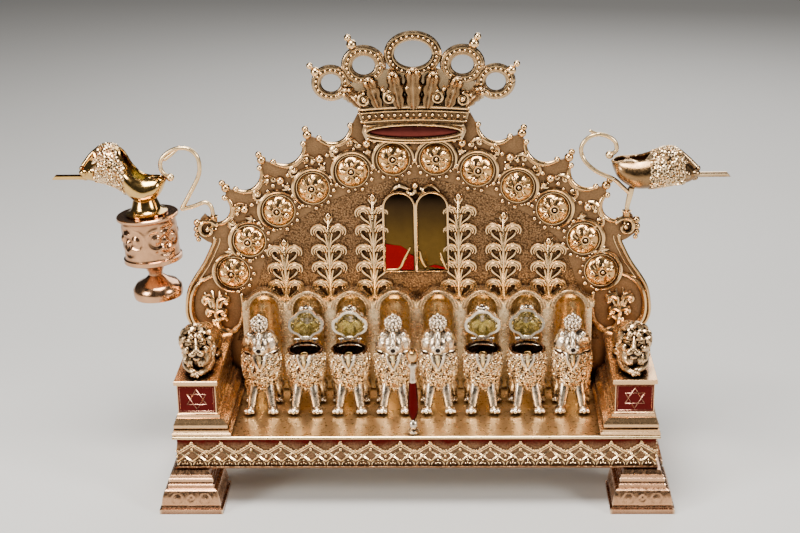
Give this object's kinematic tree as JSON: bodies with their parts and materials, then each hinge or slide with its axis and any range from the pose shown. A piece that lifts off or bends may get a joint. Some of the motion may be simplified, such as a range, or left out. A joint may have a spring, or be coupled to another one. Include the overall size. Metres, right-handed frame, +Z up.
{
  "type": "hanukkah lamp",
  "caption": "Bench-type silver-gilt Hanukkah lamp with lion oil wells, hinged lion-head lids, arched back plate, crown crest, and a jug and servant lamp on the shoulders.",
  "frame": {"origin": "on the table under the middle of the lamp's bounding box", "axes": "+Z up, +X to the right seen from the front, +Y from the front to the back plate"},
  "size_m": [0.4294, 0.1128, 0.2832],
  "materials": {
    "rose_gilt": "chased silver gilt, reddish gold with dark recesses",
    "pale_gilt": "smooth pale silver gilt",
    "polished_gilt": "polished silver gilt",
    "dark_gilt": "cast silver gilt, darkened in the recesses",
    "aged_silver": "cast silver with worn gilding"
  },
  "bodies": {
    "lamp": {"foot_front_left": "rose_gilt", "foot_front_right": "rose_gilt", "foot_back_left": "rose_gilt", "foot_back_right": "rose_gilt", "frieze_box": "rose_gilt", "side_arm_left": "rose_gilt", "side_arm_right": "rose_gilt", "back_plate": "rose_gilt", "centre_post": "rose_gilt", "jug_drum": "rose_gilt", "shamash_bowl": "rose_gilt", "tray": "pale_gilt", "jug_handle": "pale_gilt", "shamash_handle": "pale_gilt", "niche_arcade": "polished_gilt", "tablets": "polished_gilt", "jug_bowl": "polished_gilt", "crown": "dark_gilt", "guardian_lion_left": "aged_silver", "guardian_lion_right": "aged_silver", "oil_lion_1": "aged_silver", "oil_lion_2": "aged_silver", "oil_lion_3": "aged_silver", "oil_lion_4": "aged_silver", "oil_lion_5": "aged_silver", "oil_lion_6": "aged_silver", "oil_lion_7": "aged_silver", "oil_lion_8": "aged_silver"},
    "lid_1": {"lion_head_1": "aged_silver"},
    "lid_2": {"lion_head_2": "aged_silver"},
    "lid_3": {"lion_head_3": "aged_silver"},
    "lid_4": {"lion_head_4": "aged_silver"},
    "lid_5": {"lion_head_5": "aged_silver"},
    "lid_6": {"lion_head_6": "aged_silver"},
    "lid_7": {"lion_head_7": "aged_silver"},
    "lid_8": {"lion_head_8": "aged_silver"}
  },
  "joints": [
    {"name": "lid_hinge_1", "type": "hinge", "parent": "lamp", "child": "lid_1", "pos_m": [-0.08156, 0.00814, 0.0906], "axis": [-1, 0, 0], "range_deg": [0, 106]},
    {"name": "lid_hinge_2", "type": "hinge", "parent": "lamp", "child": "lid_2", "pos_m": [-0.05353, 0.00814, 0.0906], "axis": [-1, 0, 0], "range_deg": [-106, 0]},
    {"name": "lid_hinge_3", "type": "hinge", "parent": "lamp", "child": "lid_3", "pos_m": [-0.0255, 0.00814, 0.0906], "axis": [-1, 0, 0], "range_deg": [-97, 0]},
    {"name": "lid_hinge_4", "type": "hinge", "parent": "lamp", "child": "lid_4", "pos_m": [0.00253, 0.00814, 0.0906], "axis": [-1, 0, 0], "range_deg": [0, 106]},
    {"name": "lid_hinge_5", "type": "hinge", "parent": "lamp", "child": "lid_5", "pos_m": [0.03056, 0.00814, 0.0906], "axis": [-1, 0, 0], "range_deg": [0, 106]},
    {"name": "lid_hinge_6", "type": "hinge", "parent": "lamp", "child": "lid_6", "pos_m": [0.05859, 0.00814, 0.0906], "axis": [-1, 0, 0], "range_deg": [-97, 0]},
    {"name": "lid_hinge_7", "type": "hinge", "parent": "lamp", "child": "lid_7", "pos_m": [0.08662, 0.00814, 0.0906], "axis": [-1, 0, 0], "range_deg": [-106, 0]},
    {"name": "lid_hinge_8", "type": "hinge", "parent": "lamp", "child": "lid_8", "pos_m": [0.11465, 0.00814, 0.0906], "axis": [-1, 0, 0], "range_deg": [0, 106]}
  ]
}
